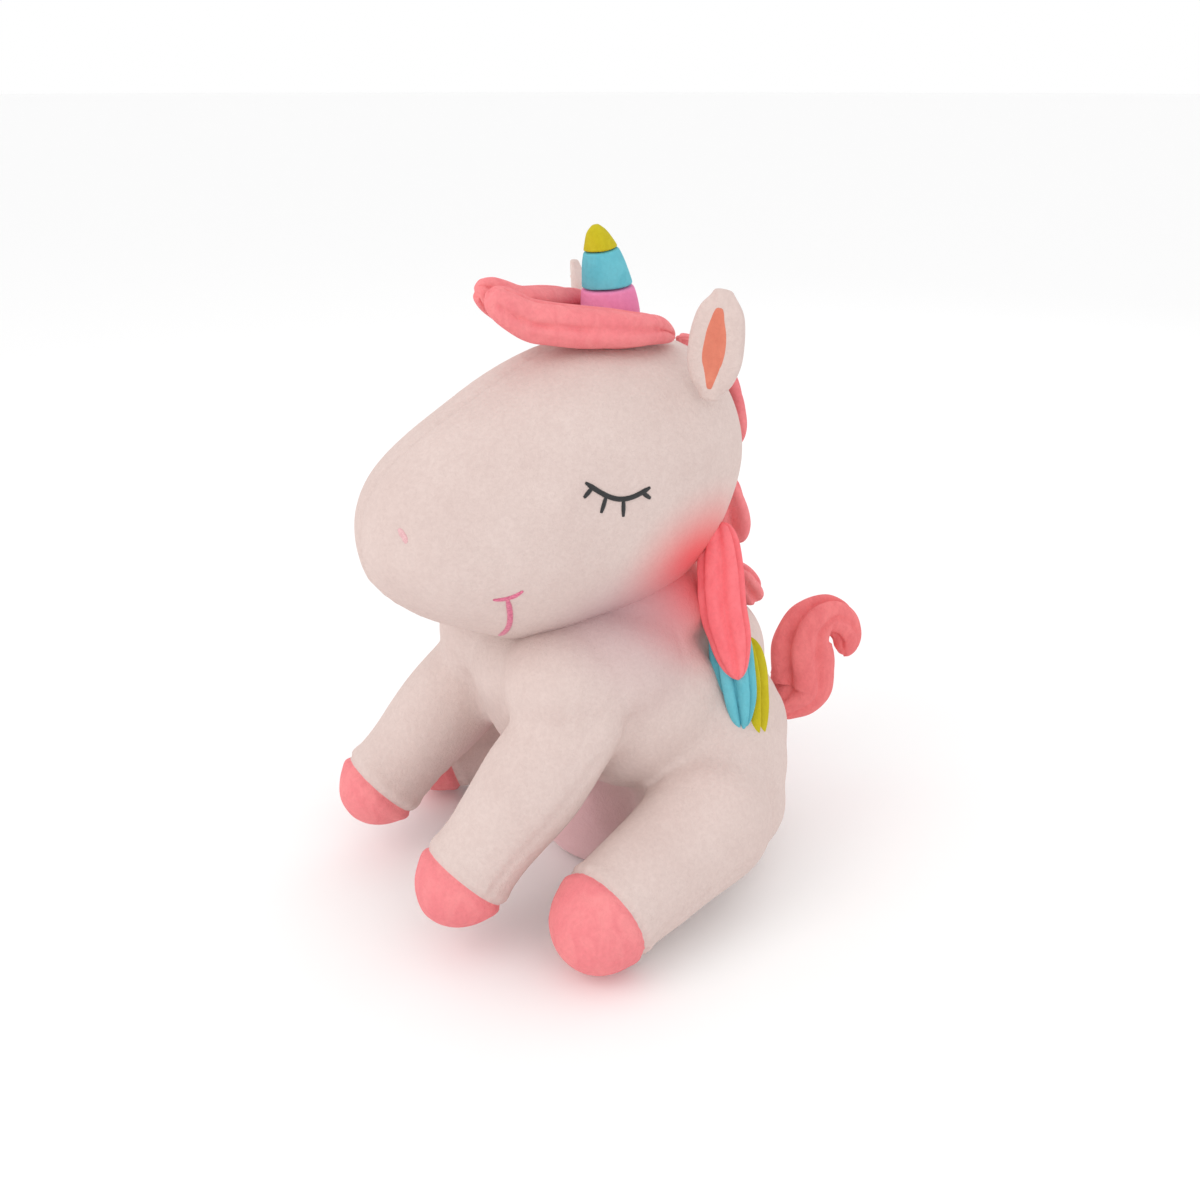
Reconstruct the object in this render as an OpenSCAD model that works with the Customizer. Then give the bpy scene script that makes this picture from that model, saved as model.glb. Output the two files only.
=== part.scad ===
// Plush unicorn, sitting: stuffed fabric toy with a big head, three-colour horn and wings.
// Origin: on the floor, in the middle of the seat. +Z up, -Y is the front, +X its left side.

/* [Fabric] */
// Thickness of the plush fabric panels (mm)
fabric = 2.4; // [1.6:0.2:3.4]
// Gap between two panels where they are sewn together (mm)
seam_gap = 0.3; // [0.2:0.1:0.8]
// Gap between the fabric and the stuffing inside it (mm)
lining_gap = 0.4; // [0.3:0.1:1.0]

/* [Head] */
// Half of the greatest width of the head (mm)
head_half_width = 75; // [60:1:90]
// Half of the greatest height of the head (mm)
head_half_height = 75; // [60:1:90]
// Height of the middle of the head above the floor (mm)
head_height = 259; // [240:1:280]
// Distance from the middle of the head to the tip of the muzzle (mm)
muzzle_reach = 141; // [120:1:160]

/* [Torso] */
// Half of the greatest width of the torso (mm)
torso_half_width = 51; // [42:1:51]
// Radius of the flat round panel the toy sits on (mm)
seat_radius = 44; // [36:1:46]

// Radius of the wad of stuffing in the neck (mm)
neck_wad = 14; // [10:0.5:14.5]

/* [Legs] */
// Radius of the front legs (mm)
front_leg_radius = 25; // [20:1:26]
// Radius of the hind legs at the thigh (mm)
hind_leg_radius = 35; // [28:1:36]
// Radius of the front hooves (mm)
front_hoof_radius = 27; // [22:1:30]
// Radius of the hind hooves (mm)
hind_hoof_radius = 31; // [26:1:33]

/* [Ears] */
// Length of an ear from its sewn foot to its tip (mm)
ear_length = 60; // [50:1:72]
// Half of the width of an ear (mm)
ear_half_width = 17; // [13:1:20]

/* [Horn] */
// Radius of the horn at its foot (mm)
horn_radius = 16; // [12:1:17]

/* [Wings] */
// Half of the width of the top wing feather (mm)
feather_half_width = 18; // [12:1:20]
// Half of the thickness of a wing feather (mm)
feather_half_thickness = 5.2; // [4:0.2:5.4]

/* [Stitching] */
// Width of the embroidered stitch lines (mm)
stitch = 1.8; // [1.2:0.2:2.6]

/* [Hidden] */

cream = [0.93, 0.84, 0.80];
coral = [0.94, 0.50, 0.53];
pink = [0.93, 0.58, 0.74];
blue = [0.42, 0.75, 0.80];
yellow = [0.86, 0.80, 0.20];
white = [0.95, 0.95, 0.93];
inset = fabric + lining_gap;

// ---------- helpers: curves ----------

function unit(v) = v / norm(v);
// Smooth curve through evenly numbered rows of values, t from 0 to the last row number
function row_at(rows, t) =
    let (n = len(rows) - 1, k = min(max(floor(t), 0), n - 1), f = t - k,
         a = rows[max(k - 1, 0)], b = rows[k], c = rows[k + 1], d = rows[min(k + 2, n)])
    0.5 * (2 * b + (c - a) * f + (2 * a - 5 * b + 4 * c - d) * f * f
        + (3 * b - a - 3 * c + d) * f * f * f);
function rows_at(rows, count) = [for (k = [0:count - 1]) row_at(rows, k * (len(rows) - 1)
    / (count - 1))];
function mirrored(rings, side) = [for (r = rings) [for (p = r) [p[0] * side, p[1], p[2]]]];
function section(rings, first, last) = [for (k = [first:last]) rings[k]];

// Outward normal of a grid of rings (rings closed on themselves) at ring k, point i
function ring_normal(rings, k, i) =
    let (n = len(rings[0]), last = len(rings) - 1,
         along = rings[min(k + 1, last)][i] - rings[max(k - 1, 0)][i],
         around = rings[k][(i + 1) % n] - rings[k][(i + n - 1) % n])
    unit(cross(around, along));
// The same rings moved inward by a distance
function shrunk(rings, depth) = [for (k = [0:len(rings) - 1]) [for (i = [0:len(rings[0]) - 1])
    rings[k][i] - depth * ring_normal(rings, k, i)]];

// ---------- helpers: solids ----------

function turned(faces, flip) = flip ? [for (f = faces) [f[2], f[1], f[0]]] : faces;
function centre(ring) = [for (a = [0:2]) [for (p = ring) p[a]] * [for (p = ring) 1] / len(ring)];
function strip(n, a, b, closed) = [for (i = [0:n - (closed ? 1 : 2)]) let (j = (i + 1) % n)
    each [[a + i, b + j, a + j], [a + i, b + i, b + j]]];
function fan(n, tip, a) = [for (i = [0:n - 1]) [tip, a + i, a + (i + 1) % n]];

// Closed stuffed shape through a list of rings
module stuffed(rings, flip = false) {
    n = len(rings[0]);
    k = len(rings);
    points = concat([for (r = rings) each r], [centre(rings[0]), centre(rings[k - 1])]);
    faces = concat([for (j = [0:k - 2]) each strip(n, j * n, (j + 1) * n, true)],
        fan(n, n * k, 0), turned(fan(n, n * k + 1, n * (k - 1)), true));
    polyhedron(points, turned(faces, flip));
}

// Fabric tube between two lists of rings, outer and inner, open at both ends
module tube(outer, inner, flip = false) {
    n = len(outer[0]);
    k = len(outer);
    m = n * k;
    points = concat([for (r = outer) each r], [for (r = inner) each r]);
    faces = concat([for (j = [0:k - 2]) each strip(n, j * n, (j + 1) * n, true)],
        turned([for (j = [0:k - 2]) each strip(n, m + j * n, m + (j + 1) * n, true)], true),
        turned(strip(n, 0, m, true), true), strip(n, (k - 1) * n, m + (k - 1) * n, true));
    polyhedron(points, turned(faces, flip));
}

// Fabric cap: a tube closed at its last ring
module cap(outer, inner, flip = false) {
    n = len(outer[0]);
    k = len(outer);
    m = n * k;
    points = concat([for (r = outer) each r], [for (r = inner) each r],
        [centre(outer[k - 1]), centre(inner[k - 1])]);
    faces = concat([for (j = [0:k - 2]) each strip(n, j * n, (j + 1) * n, true)],
        turned([for (j = [0:k - 2]) each strip(n, m + j * n, m + (j + 1) * n, true)], true),
        turned(strip(n, 0, m, true), true),
        turned(fan(n, 2 * m, (k - 1) * n), true), fan(n, 2 * m + 1, m + (k - 1) * n));
    polyhedron(points, turned(faces, flip));
}

// Fabric panel between an outer and an inner grid of rows, with four edges
module panel(outer, inner, flip = false) {
    n = len(outer[0]);
    k = len(outer);
    m = n * k;
    points = concat([for (r = outer) each r], [for (r = inner) each r]);
    faces = concat([for (j = [0:k - 2]) each strip(n, j * n, (j + 1) * n, false)],
        turned([for (j = [0:k - 2]) each strip(n, m + j * n, m + (j + 1) * n, false)], true),
        turned(strip(n, 0, m, false), true), strip(n, (k - 1) * n, m + (k - 1) * n, false),
        [for (j = [0:k - 2]) each [[j * n, m + j * n, m + (j + 1) * n],
            [j * n, m + (j + 1) * n, (j + 1) * n]]],
        [for (j = [0:k - 2]) let (a = j * n + n - 1) each [[a, m + a + n, m + a],
            [a, a + n, m + a + n]]]);
    polyhedron(points, turned(faces, flip));
}

// Points first..last of every ring, counted round past the end when last is larger than n
function cut(rings, first, last) = [for (r = rings) [for (i = [first:last]) r[i % len(r)]]];
// Moves the points that lie on the middle plane off it by half a seam
function parted(rows) = [for (r = rows) [for (p = r)
    [max(p[0], seam_gap / 2), p[1], p[2]]]];

// ---------- head ----------

// [y, middle height, half width, half height] from the back of the head to the muzzle
head_rows = [
    [68, 6, 0.03, 0.03], [65.5, 6, 0.24, 0.25], [58, 7, 0.46, 0.48], [44, 8, 0.70, 0.70],
    [22, 6, 0.89, 0.87], [-8, 3, 0.98, 0.97], [-42, -1, 1, 1], [-76, -8, 0.97, 0.95],
    [-106, -16, 0.88, 0.86], [-132, -21, 0.76, 0.74], [-152, -24, 0.59, 0.58],
    [-165, -25, 0.38, 0.38], [-170.3, -25, 0.17, 0.17], [-171.3, -25, 0.03, 0.03]
];
head_steps = 20;
head_sides = 28;
function head_row(t) = row_at(head_rows, t);
function head_y(y) = y < -30 ? -30 + (y + 30) * muzzle_reach / 141 : y;
// Point of the head at row position t and angle a (0 is the toy's left side, 90 the top)
function head_point(t, a) = let (r = head_row(t))
    [head_half_width * r[2] * cos(a), head_y(r[0]),
        head_height + r[1] + head_half_height * r[3] * sin(a)];
head_rings = [for (k = [0:head_steps]) [for (i = [0:head_sides - 1])
    head_point(k * (len(head_rows) - 1) / head_steps, -90 + i * 360 / head_sides)]];
head_inner = shrunk(head_rings, fabric);

module head_panel_left(side = 1) {
    color(cream) panel(mirrored(parted(cut(head_rings, 0, head_sides / 2)), side),
        mirrored(parted(cut(head_inner, 0, head_sides / 2)), side), side < 0);
}
module head_panel_right() { head_panel_left(-1); }
module head_stuffing() { color(white) stuffed(shrunk(head_rings, inset)); }

// ---------- torso ----------

// [middle y, middle height, half width, half depth, tilt] from the seat to the neck
torso_rows = [
    [0, 0.9, seat_radius + 1, seat_radius + 1, 0], [10, 9, torso_half_width - 2, 64, 0],
    [23, 26, torso_half_width, 85, 0], [29, 55, torso_half_width, 94, 0],
    [26, 88, torso_half_width, 90, 0], [18, 119, torso_half_width - 1, 82, 2],
    [11, 148, torso_half_width - 4, 71, 5], [6, 168, torso_half_width - 7, 60, 10],
    [3, 180, torso_half_width - 10, 50, 17], [0, 184.5, torso_half_width - 16, 41, 19]
];
torso_steps = 14;
torso_sides = 28;
chest_taper = 0.3;
function torso_point(t, a) = let (r = row_at(torso_rows, t), q = max(sin(-a), 0) * min(t / 5, 1))
    [r[2] * cos(a) * (1 - chest_taper * q), r[0] + r[3] * sin(a) * cos(r[4]),
        r[1] + r[3] * sin(a) * sin(r[4])];
torso_rings = [for (k = [0:torso_steps]) [for (i = [0:torso_sides - 1])
    torso_point(k * (len(torso_rows) - 1) / torso_steps, -90 + i * 360 / torso_sides)]];
torso_inner = shrunk(torso_rings, fabric);

module back_panel_left(side = 1) {
    color(cream) panel(mirrored(parted(cut(torso_rings, 3, 14)), side),
        mirrored(parted(cut(torso_inner, 3, 14)), side), side < 0);
}
module back_panel_right() { back_panel_left(-1); }
module belly_panel() {
    color(cream) panel(cut(torso_rings, 25, 31), cut(torso_inner, 25, 31));
}
module seat_panel() {
    color(cream) cylinder(r = seat_radius - 3, h = fabric - 0.9, $fn = 96);
}
// The stuffing ends in a hollow below the neck seam, where the neck wad sits
function dipped(ring, share, drop) = let (c = centre(ring))
    [for (p = ring) c + (p - c) * share - [0, 0, drop]];
module torso_stuffing() {
    rings = shrunk(torso_rings, inset);
    top = rings[torso_steps];
    color(white) stuffed(concat(rings, [dipped(top, 0.82, 9), dipped(top, 0.5, 22),
        dipped(top, 0.2, 27)]));
}
neck_middle = [0, -3, 171];
module neck_stuffing() { color(white) translate(neck_middle) sphere(r = neck_wad, $fn = 64); }

// ---------- legs ----------

leg_sides = 16;
// Rings round a straight line from a start point along a direction; rows are [distance, radius]
function leg_rings(start, end, rows) =
    let (d = unit(end - start), up = unit(cross(d, [1, 0, 0])), out = cross(up, d))
    [for (r = rows) [for (i = [0:leg_sides - 1]) let (a = -90 + i * 360 / leg_sides)
        start + d * r[0] + r[1] * (cos(a) * out + sin(a) * up)]];

shoulder = [55.8, -63, 127];
front_foot = [56, -146, 47];
front_length = norm(front_foot - shoulder);
fr = front_leg_radius;
fh = front_hoof_radius;
front_rows = [
    [-0.995, 0.06], [-0.93, 0.38], [-0.72, 0.7], [-0.35, 0.94], [0.15, 1.01]
];
front_leg = leg_rings(shoulder, front_foot, concat([for (r = front_rows) r * fr],
    [[front_length * 0.35, fr], [front_length * 0.6, fr], [front_length * 0.82, fr + 1],
     [front_length - 4, fh], [front_length + 2, fh], [front_length + fh * 0.36, fh * 0.93],
     [front_length + fh * 0.7, fh * 0.71], [front_length + fh * 0.92, fh * 0.39],
     [front_length + fh * 0.995, fh * 0.06]]));
front_seam = 8;

hip = [88, 8, 60];
hind_foot = [112, -82, hind_hoof_radius + 0.6];
hind_length = norm(hind_foot - hip);
hr = hind_leg_radius;
hh = hind_hoof_radius;
hind_leg = leg_rings(hip, hind_foot, concat([for (r = front_rows) r * hr],
    [[hind_length * 0.38, hr], [hind_length * 0.62, hr - 2], [hind_length * 0.8, hr - 3.5],
     [hind_length - 4, hh], [hind_length + 2, hh], [hind_length + hh * 0.36, hh * 0.93],
     [hind_length + hh * 0.7, hh * 0.71], [hind_length + hh * 0.92, hh * 0.39],
     [hind_length + hh * 0.995, hh * 0.06]]));

module leg_half(rings, first, side) {
    skin = section(rings, 0, front_seam);
    inner = section(shrunk(rings, fabric), 0, front_seam);
    color(cream) panel(mirrored(cut(skin, first, first + leg_sides / 2), side),
        mirrored(cut(inner, first, first + leg_sides / 2), side), side < 0);
}
module leg_hoof(rings, side) {
    last = len(rings) - 1;
    outer = section(rings, front_seam, last);
    inner = section(shrunk(rings, fabric), front_seam, last);
    color(coral) cap(mirrored(outer, side), mirrored(inner, side), side < 0);
}
module leg_stuffing(rings, side) {
    color(white) stuffed(mirrored(shrunk(rings, inset), side), side < 0);
}
module front_leg_outer_left(side = 1) { leg_half(front_leg, 0, side); }
module front_leg_inner_left(side = 1) { leg_half(front_leg, leg_sides / 2, side); }
module front_hoof_left(side = 1) { leg_hoof(front_leg, side); }
module front_leg_stuffing_left(side = 1) { leg_stuffing(front_leg, side); }
module front_leg_outer_right() { front_leg_outer_left(-1); }
module front_leg_inner_right() { front_leg_inner_left(-1); }
module front_hoof_right() { front_hoof_left(-1); }
module front_leg_stuffing_right() { front_leg_stuffing_left(-1); }
module hind_leg_outer_left(side = 1) { leg_half(hind_leg, 0, side); }
module hind_leg_inner_left(side = 1) { leg_half(hind_leg, leg_sides / 2, side); }
module hind_hoof_left(side = 1) { leg_hoof(hind_leg, side); }
module hind_leg_stuffing_left(side = 1) { leg_stuffing(hind_leg, side); }
module hind_leg_outer_right() { hind_leg_outer_left(-1); }
module hind_leg_inner_right() { hind_leg_inner_left(-1); }
module hind_hoof_right() { hind_hoof_left(-1); }
module hind_leg_stuffing_right() { hind_leg_stuffing_left(-1); }

// ---------- ears ----------

ear_foot = [63, 12, 306];
ear_up = unit([0.10, 0.05, 1]);
ear_face = unit([0.64, -0.77, 0]);
ear_across = unit(cross(ear_face, ear_up));
// Half width of the ear along its length, as a share of the greatest
ear_widths = [[0.38], [0.80], [0.98], [1.0], [0.93], [0.70], [0.20]];
function ear_point(u, v, depth, share) =
    ear_foot + ear_up * ear_length * u
    + ear_across * v * share * ear_half_width * row_at(ear_widths, u * 6)[0]
    + ear_face * depth;
function ear_grid(rise, edge, share, u0, u1) = [for (j = [0:8]) let (u = u0 + (u1 - u0) * j / 8)
    [for (i = [0:6]) let (v = -1 + i / 3)
        ear_point(u, v, edge + rise * (1 - v * v) * (0.35 + 0.65 * sin(180 * min(u, 0.9))),
            share)]];

module ear_back_left(side = 1) {
    color(cream) panel(mirrored(ear_grid(-5.5, -2, 1, 0, 1), side),
        mirrored(ear_grid(-1.2, 2, 1, 0, 1), side), side < 0);
}
module ear_lining_left(side = 1) {
    color(coral) panel(mirrored(ear_grid(-0.8, 2.4, 0.56, 0.12, 0.84), side),
        mirrored(ear_grid(-0.4, 4.0, 0.56, 0.12, 0.84), side), side < 0);
}
module ear_back_right() { ear_back_left(-1); }
module ear_lining_right() { ear_lining_left(-1); }

// ---------- horn ----------

horn_sides = 20;
// [y, z, share of the foot radius]
horn_rows = [
    [-12, 337.5, 0.99], [-12.4, 342, 1.01], [-13, 348, 1.0], [-13.8, 355, 0.96],
    [-15, 362, 0.88], [-16.6, 370, 0.77], [-18.6, 378, 0.64], [-20.6, 385, 0.49],
    [-22.4, 391, 0.30], [-23.2, 393.6, 0.10]
];
horn_rings = [for (r = rows_at(horn_rows, 15)) [for (i = [0:horn_sides - 1])
    let (a = i * 360 / horn_sides) [r[2] * horn_radius * cos(a),
        r[0] + r[2] * horn_radius * sin(a), r[1]]]];
horn_inner = shrunk(horn_rings, fabric * 0.75);
module horn_pink_band() { color(pink) tube(section(horn_rings, 0, 6), section(horn_inner, 0, 6)); }
module horn_blue_band() { color(blue) tube(section(horn_rings, 6, 10), section(horn_inner, 6, 10)); }
module horn_yellow_tip() {
    color(yellow) cap(section(horn_rings, 10, 14), section(horn_inner, 10, 14));
}
module horn_stuffing() {
    color(white) stuffed(shrunk(horn_rings, fabric * 0.75 + lining_gap));
}

// ---------- locks of mane, forelock and tail ----------

// Flat stuffed lock; rows are [x, y, z, half width, half thickness], across is the width direction
function lock_rings(rows, across, sides, count) =
    let (list = rows_at(rows, count))
    [for (k = [0:count - 1]) let (r = list[k], a = list[max(k - 1, 0)],
        b = list[min(k + 1, count - 1)],
        along = unit([b[0] - a[0], b[1] - a[1], b[2] - a[2]]),
        up = unit(cross(along, across)), wide = cross(up, along))
        [for (i = [0:sides - 1]) let (t = i * 360 / sides)
            [r[0], r[1], r[2]] + r[3] * cos(t) * wide + r[4] * sin(t) * up]];

forelock_rows = [
    [16, 21, 331, 1, 1], [22, 12, 335, 6, 6], [28.5, -2, 340, 10, 9.5],
    [29, -20, 342, 11, 11], [20.5, -42, 344, 12.5, 12], [13.8, -61, 347, 12.8, 12.5],
    [11, -77, 351, 10.3, 11], [8.5, -90, 360, 7, 7.5], [7, -97, 368, 1, 1]
];
module forelock_left(side = 1) {
    color(coral) stuffed(mirrored(lock_rings(forelock_rows, [1, 0, 0], 14, 17), side), side < 0);
}
module forelock_right() { forelock_left(-1); }

module mane(rows) { color(coral) stuffed(lock_rings(rows, [1, 0, 0], 12, 12)); }
module mane_lock_upper() {
    mane([[0, 30, 336, 1, 1], [0, 38, 333, 10, 4.5], [0, 54, 323, 15, 6], [0, 69, 303, 16, 7],
          [0, 78, 283, 12, 6.5], [0, 83, 268, 1, 1]]);
}
module mane_lock_middle() {
    mane([[0, 76, 262, 1, 1], [0, 77, 254, 10, 5], [0, 74, 238, 15, 6], [0, 69, 224, 13, 6],
          [0, 71, 210, 1, 1]]);
}
module mane_lock_lower() {
    mane([[0, 73, 191, 1, 1], [0, 81, 187, 9, 5.5], [0, 90, 175, 14, 7], [0, 96, 161, 12, 6],
          [0, 102, 149, 1, 1]]);
}

tail_rows = [
    [0, 126, 64, 1, 1], [0, 129, 64, 9, 9], [0, 138, 65, 15, 16], [0, 148, 71, 17, 20],
    [0, 151, 86, 16, 19], [0, 150, 102, 14, 17], [0, 153, 116, 12, 15], [0, 164, 122, 11, 12],
    [0, 176, 115, 9, 10], [0, 182, 103, 6, 7], [0, 184, 94, 1, 1]
];
module tail_lock() { color(coral) stuffed(lock_rings(tail_rows, [1, 0, 0], 16, 22)); }

// ---------- wings ----------

feather_across = unit([0.9, 0.42, 0.1]);
// Rows of one feather from its root to its tip
function feather(top, mid, tip, half, thick) = [
    concat(top, [1, 1]), concat(top * 0.85 + mid * 0.15, [half * 0.55, thick * 0.8]),
    concat(top * 0.45 + mid * 0.55, [half * 0.9, thick]), concat(mid, [half, thick]),
    concat(mid * 0.5 + tip * 0.5, [half * 0.85, thick]),
    concat(mid * 0.15 + tip * 0.85, [half * 0.45, thick * 0.75]), concat(tip, [1, 1])
];
module feather_solid(rows, tint, side) {
    color(tint) stuffed(mirrored(lock_rings(rows, feather_across, 14, 13), side), side < 0);
}
ft = feather_half_thickness;
fw = feather_half_width;
module wing_coral_feather_left(side = 1) {
    feather_solid(feather([56, 22, 208], [65, 27, 176], [71, 32, 138], fw, ft), coral, side);
}
module wing_blue_feather_left(side = 1) {
    feather_solid(feather([54, 33, 200], [64, 40, 152], [72, 41, 109], fw - 1.5, ft), blue, side);
}
module wing_yellow_feather_left(side = 1) {
    feather_solid(feather([50, 47, 186], [61, 53, 142], [71, 51, 98], fw - 3, ft), yellow, side);
}
module wing_coral_feather_right() { wing_coral_feather_left(-1); }
module wing_blue_feather_right() { wing_blue_feather_left(-1); }
module wing_yellow_feather_right() { wing_yellow_feather_left(-1); }

// ---------- embroidery ----------

function head_normal(t, a) = unit(cross(head_point(t, a + 1) - head_point(t, a - 1),
    head_point(t + 0.05, a) - head_point(t - 0.05, a)));
// Raised stitch line along places [t, a] on the head
module stitch_line(places, side, width = stitch) {
    n = len(places);
    rings = [for (k = [0:n - 1]) let (p = head_point(places[k][0], places[k][1]),
        up = head_normal(places[k][0], places[k][1]),
        b = places[min(k + 1, n - 1)], a = places[max(k - 1, 0)],
        along = unit(head_point(b[0], b[1]) - head_point(a[0], a[1])),
        wide = unit(cross(up, along)), half = width * (k == 0 || k == n - 1 ? 0.3 : 0.5))
        [for (q = [[1, 0], [0.6, 1], [-0.6, 1], [-1, 0]])
            p + up * (seam_gap + 1.0 * q[1]) + wide * half * q[0]]];
    stuffed(mirrored(rings, side), side < 0);
}
// Place on the closed lid line, s from its front end (0) to its back end (1)
function lid(s) = [6.76 - 1.01 * s, 17.9 - 12.3 * s - 6.4 * sin(180 * s)];
// Eyelashes: [place on the lid line, change of t, change of angle]
lashes = [[0.06, 0.18, -5], [0.28, 0.11, -8], [0.55, 0.01, -8.5], [0.86, -0.14, -5]];
module eye_stitching_left(side = 1) {
    color([0.08, 0.07, 0.07]) {
        stitch_line([for (k = [0:10]) lid(k / 10)], side);
        for (l = lashes)
            stitch_line([for (j = [0:3]) lid(l[0]) + [l[1], l[2]] * j / 3], side);
    }
}
module eye_stitching_right() { eye_stitching_left(-1); }
module mouth_stitching_left(side = 1) {
    color([0.86, 0.42, 0.50]) {
        stitch_line([for (k = [0:6]) [8.08 - 0.03 * k, -26 - 6 * k]], side);
        stitch_line([for (k = [-2:2]) [8.07 - 0.17 * k, -26.5 + 0.9 * k * k]], side);
    }
}
module mouth_stitching_right() { mouth_stitching_left(-1); }
module nostril_left(side = 1) {
    color([0.95, 0.66, 0.68]) stitch_line([for (k = [0:4]) [10.39 + 0.033 * k,
        16.5 + 3.3 * k]], side, 4.2);
}
module nostril_right() { nostril_left(-1); }

head_panel_left();
head_panel_right();
head_stuffing();
neck_stuffing();
back_panel_left();
back_panel_right();
belly_panel();
seat_panel();
torso_stuffing();
front_leg_outer_left();
front_leg_inner_left();
front_hoof_left();
front_leg_stuffing_left();
front_leg_outer_right();
front_leg_inner_right();
front_hoof_right();
front_leg_stuffing_right();
hind_leg_outer_left();
hind_leg_inner_left();
hind_hoof_left();
hind_leg_stuffing_left();
hind_leg_outer_right();
hind_leg_inner_right();
hind_hoof_right();
hind_leg_stuffing_right();
ear_back_left();
ear_lining_left();
ear_back_right();
ear_lining_right();
horn_pink_band();
horn_blue_band();
horn_yellow_tip();
horn_stuffing();
forelock_left();
forelock_right();
mane_lock_upper();
mane_lock_middle();
mane_lock_lower();
wing_coral_feather_left();
wing_blue_feather_left();
wing_yellow_feather_left();
wing_coral_feather_right();
wing_blue_feather_right();
wing_yellow_feather_right();
tail_lock();
eye_stitching_left();
eye_stitching_right();
mouth_stitching_left();
mouth_stitching_right();
nostril_left();
nostril_right();
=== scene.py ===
import math

import bmesh
import bpy
import numpy as np
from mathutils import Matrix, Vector, noise
from mathutils.bvhtree import BVHTree
from mathutils.kdtree import KDTree


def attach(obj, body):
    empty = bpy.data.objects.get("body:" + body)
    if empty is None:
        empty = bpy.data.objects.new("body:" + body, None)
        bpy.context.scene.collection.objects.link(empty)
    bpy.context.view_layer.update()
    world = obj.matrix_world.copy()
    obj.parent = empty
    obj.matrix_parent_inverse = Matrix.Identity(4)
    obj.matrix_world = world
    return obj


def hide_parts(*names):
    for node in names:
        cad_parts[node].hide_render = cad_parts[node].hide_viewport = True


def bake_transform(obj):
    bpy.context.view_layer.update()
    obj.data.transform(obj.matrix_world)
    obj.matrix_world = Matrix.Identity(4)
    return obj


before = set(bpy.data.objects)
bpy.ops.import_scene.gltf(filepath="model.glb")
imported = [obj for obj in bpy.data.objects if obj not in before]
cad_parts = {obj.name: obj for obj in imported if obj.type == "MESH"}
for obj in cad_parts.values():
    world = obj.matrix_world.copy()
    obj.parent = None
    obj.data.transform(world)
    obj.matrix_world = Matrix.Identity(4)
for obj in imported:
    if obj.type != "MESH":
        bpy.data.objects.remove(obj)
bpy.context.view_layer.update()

scene = bpy.context.scene
MM = 0.001
VOXEL = 0.0045
SHRINK = 2.2  # millimetres taken off before the cloth swells out again
SIDES = (("left", 1), ("right", -1))


def sind(a):
    return math.sin(math.radians(a))


def cosd(a):
    return math.cos(math.radians(a))


# ---------- camera, floor and light ----------

def aim(obj, target):
    obj.rotation_euler = (Vector(target) - obj.location).to_track_quat("-Z", "Y").to_euler()


def make_camera(azimuth=59.9, elevation=22.5, distance=0.778, across=-0.0169, up=-0.0199):
    right = Vector((cosd(azimuth), sind(azimuth), 0))
    rise = Vector((-sind(azimuth) * sind(elevation), cosd(azimuth) * sind(elevation), cosd(elevation)))
    back = Vector((sind(azimuth) * cosd(elevation), -cosd(azimuth) * cosd(elevation), sind(elevation)))
    data = bpy.data.cameras.new("camera")
    data.lens, data.sensor_width = 38.0, 36.0
    cam = bpy.data.objects.new("camera", data)
    scene.collection.objects.link(cam)
    cam.location = Vector((0, 0, 0.190)) + right * across + rise * up + back * distance
    cam.rotation_euler = (-back).to_track_quat("-Z", "Y").to_euler()
    scene.camera = cam


def area_light(name, place, power, size, colour=(1, 1, 1)):
    data = bpy.data.lights.new(name, "AREA")
    data.energy, data.size, data.color = power, size, colour
    lamp = bpy.data.objects.new(name, data)
    scene.collection.objects.link(lamp)
    lamp.location = place
    aim(lamp, (0, 0, 0.18))


def make_stage():
    bm = bmesh.new()
    bmesh.ops.create_circle(bm, cap_ends=True, segments=96, radius=40.0)
    floor = new_object("floor", bm)
    floor.location.z = -0.0004
    mat = bpy.data.materials.new("floor_paper")
    mat.use_nodes = True
    shader = mat.node_tree.nodes["Principled BSDF"]
    shader.inputs["Base Color"].default_value = (0.965, 0.965, 0.965, 1)
    shader.inputs["Roughness"].default_value = 0.9
    floor.data.materials.append(mat)
    world = bpy.data.worlds.new("studio")
    scene.world = world
    world.use_nodes = True
    world.node_tree.nodes["Background"].inputs["Color"].default_value = (1, 1, 1, 1)
    world.node_tree.nodes["Background"].inputs["Strength"].default_value = 1.0
    area_light("key", (0.15, -1.35, 1.2), 5.5, 1.0, (1, 0.97, 0.94))
    area_light("fill", (1.5, 0.1, 0.75), 1.15, 1.4, (0.98, 0.99, 1))
    area_light("back", (-0.6, 1.4, 1.3), 2, 1.2)


# ---------- meshes ----------

def new_object(name, bm):
    mesh = bpy.data.meshes.new(name)
    bm.to_mesh(mesh)
    bm.free()
    mesh.polygons.foreach_set("use_smooth", [True] * len(mesh.polygons))
    obj = bpy.data.objects.new(name, mesh)
    scene.collection.objects.link(obj)
    return obj


def points_of(obj):
    co = np.empty(len(obj.data.vertices) * 3, np.float64)
    obj.data.vertices.foreach_get("co", co)
    return co.reshape(-1, 3)


def normals_of(obj):
    co = np.empty(len(obj.data.vertices) * 3, np.float64)
    obj.data.vertices.foreach_get("normal", co)
    return co.reshape(-1, 3)


def set_points(obj, co):
    obj.data.vertices.foreach_set("co", np.asarray(co, np.float32).ravel())
    obj.data.update()


def apply_modifiers(obj):
    dg = bpy.context.evaluated_depsgraph_get()
    mesh = bpy.data.meshes.new_from_object(obj.evaluated_get(dg))
    obj.modifiers.clear()
    old = obj.data
    obj.data = mesh
    bpy.data.meshes.remove(old)
    obj.data.polygons.foreach_set("use_smooth", [True] * len(obj.data.polygons))
    return obj


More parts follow.
